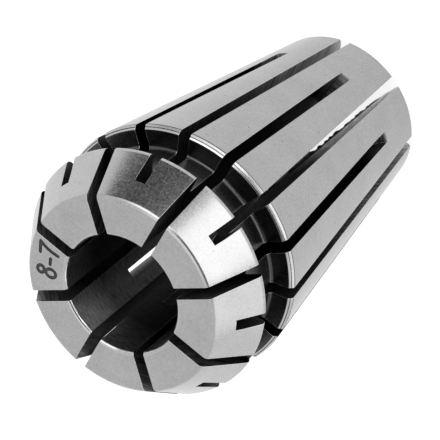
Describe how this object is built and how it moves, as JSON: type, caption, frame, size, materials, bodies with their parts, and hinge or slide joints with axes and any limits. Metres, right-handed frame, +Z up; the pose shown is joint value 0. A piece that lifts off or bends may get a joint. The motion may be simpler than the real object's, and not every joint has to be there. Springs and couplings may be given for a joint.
{
  "type": "er collet",
  "caption": "Spring collet with a long seating taper, a short steep nose cone, an extraction groove and saw cuts from both ends around a plain through bore.",
  "frame": {"origin": "centre of the small end face, on the bore's axis; the collet stands on that face", "axes": "+Z runs up the bore's axis from the small end to the nose face; +X runs through the middle of one of the saw cuts that start at the nose"},
  "size_m": [0.017, 0.017, 0.0275],
  "materials": {
    "collet_steel": "satin ground, hardened spring steel"
  },
  "bodies": {
    "root": {"collet": "collet_steel"}
  },
  "joints": []
}
